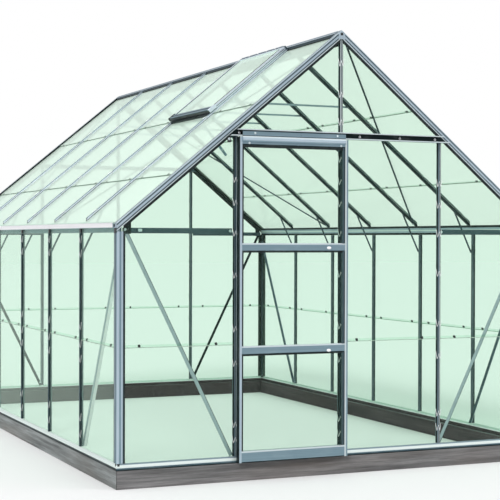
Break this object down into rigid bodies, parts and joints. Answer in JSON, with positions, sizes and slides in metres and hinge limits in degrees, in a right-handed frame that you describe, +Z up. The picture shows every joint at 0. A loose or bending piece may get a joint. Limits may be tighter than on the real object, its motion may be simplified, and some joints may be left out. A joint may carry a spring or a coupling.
{
  "type": "walk-in greenhouse",
  "caption": "Apex greenhouse on a low base: metal glazing bars, glass panes, a top-hung sliding door in the front gable and a hinged roof vent. Moves at the door and vent.",
  "frame": {"origin": "middle of the greenhouse's underside, where the base meets the ground", "axes": "+Z up; the front gable with the door faces -Y; +Y runs along the ridge to the back gable; +X is to the right as seen from the front"},
  "size_m": [2.568, 3.7895, 2.396],
  "materials": {
    "aluminium": "mill-finish extruded aluminium, pale blue-grey, satin",
    "glass": "clear horticultural glass with a pale green tint",
    "timber": "weathered grey-painted boards",
    "plastic": "black moulded plastic"
  },
  "bodies": {
    "root": {"base_frame": "timber", "sill_frame": "aluminium", "corner_post_front_left": "aluminium", "corner_post_front_right": "aluminium", "corner_post_back_left": "aluminium", "corner_post_back_right": "aluminium", "left_post_1": "aluminium", "left_post_2": "aluminium", "left_post_3": "aluminium", "left_post_4": "aluminium", "left_post_5": "aluminium", "right_post_1": "aluminium", "right_post_2": "aluminium", "right_post_3": "aluminium", "right_post_4": "aluminium", "right_post_5": "aluminium", "eave_left": "aluminium", "eave_right": "aluminium", "left_rafter_1": "aluminium", "left_rafter_2": "aluminium", "left_rafter_3": "aluminium", "left_rafter_4": "aluminium", "left_rafter_5": "aluminium", "right_rafter_1": "aluminium", "right_rafter_2": "aluminium", "right_rafter_3": "aluminium", "right_rafter_4": "aluminium", "right_rafter_5": "aluminium", "ridge_bar": "aluminium", "gable_rafter_front_left": "aluminium", "gable_rafter_front_right": "aluminium", "gable_rafter_back_left": "aluminium", "gable_rafter_back_right": "aluminium", "front_head_rail": "aluminium", "front_jamb_post": "aluminium", "front_centre_post": "aluminium", "front_side_post": "aluminium", "back_head_rail": "aluminium", "back_post_left": "aluminium", "back_post_centre": "aluminium", "back_post_right": "aluminium", "vent_cill": "aluminium", "left_wall_glass": "glass", "right_wall_glass": "glass", "roof_glass_left": "glass", "roof_glass_right": "glass", "front_glass": "glass", "back_glass": "glass"},
    "door": {"door_left_stile": "aluminium", "door_right_stile": "aluminium", "door_hanger_rail": "aluminium", "door_upper_rail": "aluminium", "door_lower_rail": "aluminium", "door_bottom_rail": "aluminium", "door_glass": "glass"},
    "door_roller_left": {"door_roller_left": "plastic"},
    "door_roller_right": {"door_roller_right": "plastic"},
    "vent": {"vent_frame": "aluminium", "vent_glass": "glass"},
    "vent_stay": {"vent_stay": "aluminium"}
  },
  "joints": [
    {"name": "door_slide", "type": "slide", "parent": "root", "child": "door", "axis": [1, 0, 0], "range_m": [0, 0.6]},
    {"name": "door_roller_left_turn", "type": "hinge", "parent": "door", "child": "door_roller_left", "pos_m": [-0.5, -1.86775, 1.8178], "axis": [0, 1, 0], "continuous": true},
    {"name": "door_roller_right_turn", "type": "hinge", "parent": "door", "child": "door_roller_right", "pos_m": [-0.09, -1.86775, 1.8178], "axis": [0, 1, 0], "continuous": true},
    {"name": "vent_hinge", "type": "hinge", "parent": "root", "child": "vent", "pos_m": [-0.0235, -0.90825, 2.37735], "axis": [0, 1, 0], "range_deg": [0, 28]},
    {"name": "vent_stay_pivot", "type": "hinge", "parent": "vent", "child": "vent_stay", "pos_m": [-0.46536, -0.90825, 2.0015], "axis": [0, 1, 0], "range_deg": [-15, 1]}
  ],
  "couplings": [
    {"joint": "door_roller_left_turn", "follows": "door_slide", "rad_per_m": 90.909},
    {"joint": "door_roller_right_turn", "follows": "door_slide", "rad_per_m": 90.909},
    {"joint": "vent_stay_pivot", "follows": "vent_hinge", "ratio": -0.5}
  ]
}
